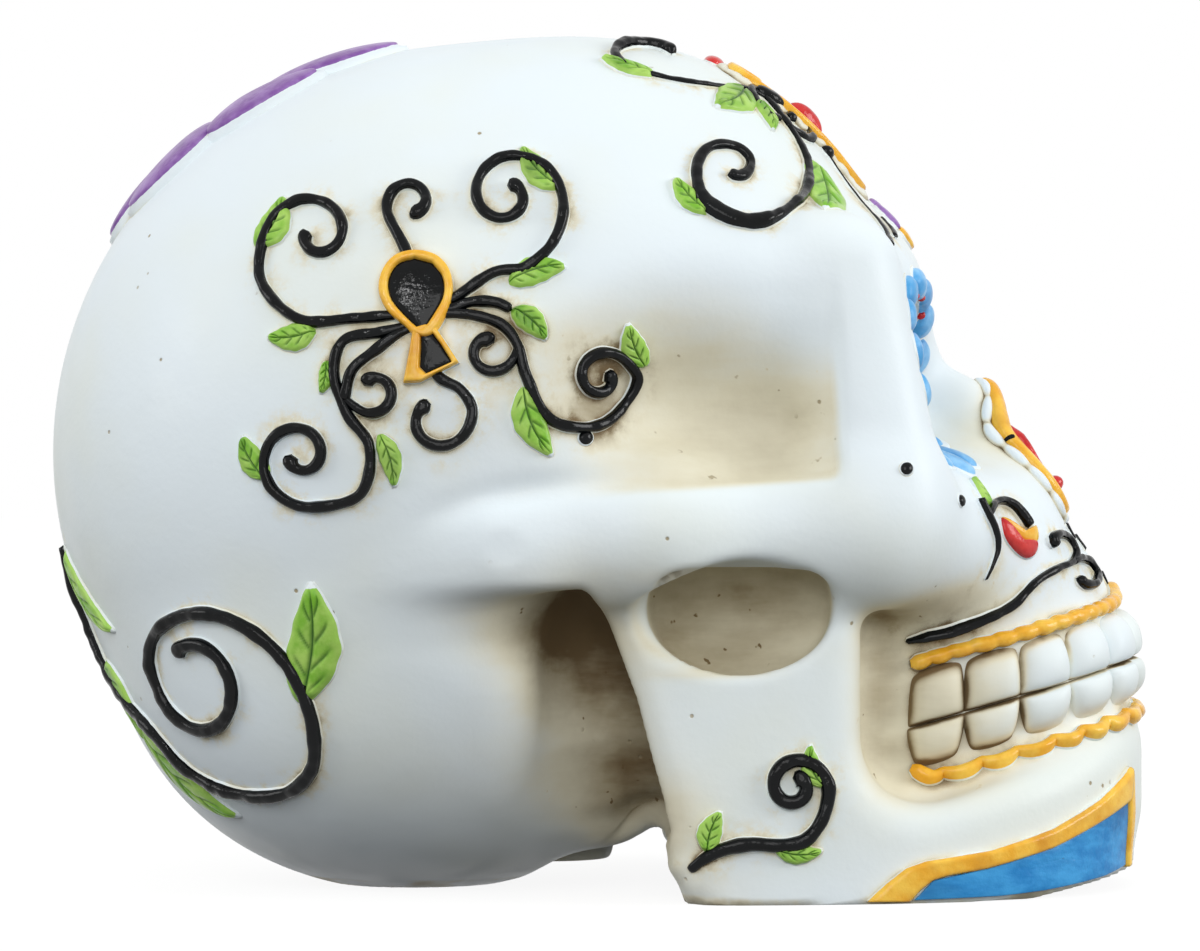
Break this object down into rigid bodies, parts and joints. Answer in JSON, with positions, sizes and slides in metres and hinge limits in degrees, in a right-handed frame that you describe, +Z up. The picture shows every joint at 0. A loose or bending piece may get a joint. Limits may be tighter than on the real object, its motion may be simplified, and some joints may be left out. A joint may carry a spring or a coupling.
{
  "type": "sugar skull",
  "caption": "Hollow cast skull with raised painted scrolls, leaves, keyholes, petals, teeth and borders; stands on its lower jaw and the base of its cranium.",
  "frame": {"origin": "on the floor, under the middle of the skull's bounding box", "axes": "+X is where the face looks, +Y the skull's left side, +Z up"},
  "size_m": [0.1526, 0.0996, 0.1181],
  "materials": {
    "bone": "cast resin, satin off-white paint with brown wash in the hollows",
    "stopper": "matt black",
    "black": "gloss black paint over cast resin",
    "green": "gloss green paint over cast resin",
    "yellow": "gloss golden yellow paint over cast resin",
    "red": "gloss red paint over cast resin",
    "blue": "satin blue paint over cast resin",
    "paleBlue": "satin pale blue paint over cast resin",
    "purple": "satin purple paint over cast resin"
  },
  "bodies": {
    "root": {"skull_shell": "bone", "upper_teeth": "bone", "lower_teeth": "bone", "pour_hole_stopper": "stopper", "temple_scrollwork_right": "black", "temple_scrollwork_left": "black", "keyhole_inset_right": "black", "keyhole_inset_left": "black", "forehead_scrollwork_right": "black", "forehead_scrollwork_left": "black", "nape_scrollwork_right": "black", "nape_scrollwork_left": "black", "jaw_scrollwork_right": "black", "jaw_scrollwork_left": "black", "cheek_scrollwork_right": "black", "cheek_scrollwork_left": "black", "moustache_right": "black", "moustache_left": "black", "temple_leaf_01_right": "green", "temple_leaf_01_left": "green", "temple_leaf_02_right": "green", "temple_leaf_02_left": "green", "temple_leaf_03_right": "green", "temple_leaf_03_left": "green", "temple_leaf_04_right": "green", "temple_leaf_04_left": "green", "temple_leaf_05_right": "green", "temple_leaf_05_left": "green", "temple_leaf_06_right": "green", "temple_leaf_06_left": "green", "temple_leaf_07_right": "green", "temple_leaf_07_left": "green", "temple_leaf_08_right": "green", "temple_leaf_08_left": "green", "temple_leaf_09_right": "green", "temple_leaf_09_left": "green", "temple_leaf_10_right": "green", "temple_leaf_10_left": "green", "keyhole_rim_right": "yellow", "keyhole_rim_left": "yellow", "nose_frame": "yellow", "upper_gum_piping": "yellow", "lower_gum_piping": "yellow", "chin_border_right": "yellow", "chin_border_left": "yellow", "forehead_heart_rim": "yellow", "cheek_drop_right": "red", "cheek_drop_left": "red", "forehead_heart": "red", "chin_panel_right": "blue", "chin_panel_left": "blue", "eye_petal_ring_right": "paleBlue", "eye_petal_ring_left": "paleBlue", "crown_flower": "purple", "brow_flower": "purple"}
  },
  "joints": []
}
